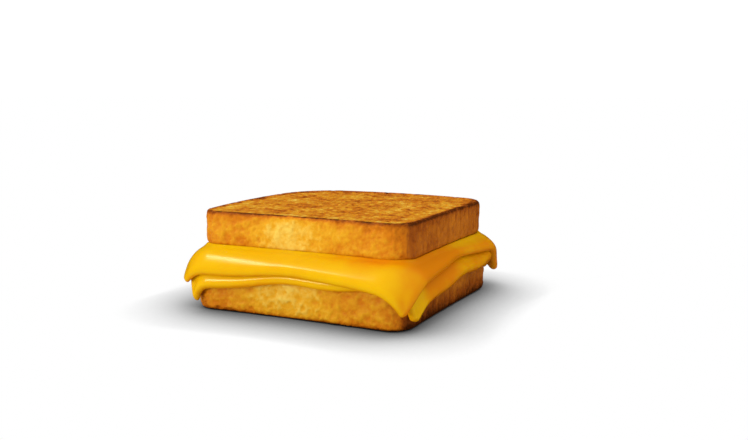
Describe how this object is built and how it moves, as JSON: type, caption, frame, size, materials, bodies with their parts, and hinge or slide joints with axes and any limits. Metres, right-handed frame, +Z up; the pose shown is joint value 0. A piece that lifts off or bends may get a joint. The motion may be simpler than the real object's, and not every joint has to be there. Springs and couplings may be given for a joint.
{
  "type": "grilled cheese sandwich",
  "caption": "Toasted grilled cheese sandwich: thick square slices of toast with melted cheese sheets that drape over the lower slice and hang at its corners",
  "frame": {"origin": "middle of the flat face that the bottom slice of toast rests on", "axes": "+Z up through the stack; -Y the front edge of the slices; +Y their domed back crust; +X the right side seen from the front"},
  "size_m": [0.1333, 0.1397, 0.0493],
  "materials": {
    "toast": "butter-toasted bread crust, mottled golden brown, dry and slightly rough with a faint butter sheen",
    "cheese": "melted processed cheese, saturated yellow-orange, smooth and softly glossy"
  },
  "bodies": {
    "root": {"bread_bottom": "toast", "bread_top": "toast", "cheese_lower": "cheese", "cheese_upper": "cheese"}
  },
  "joints": []
}
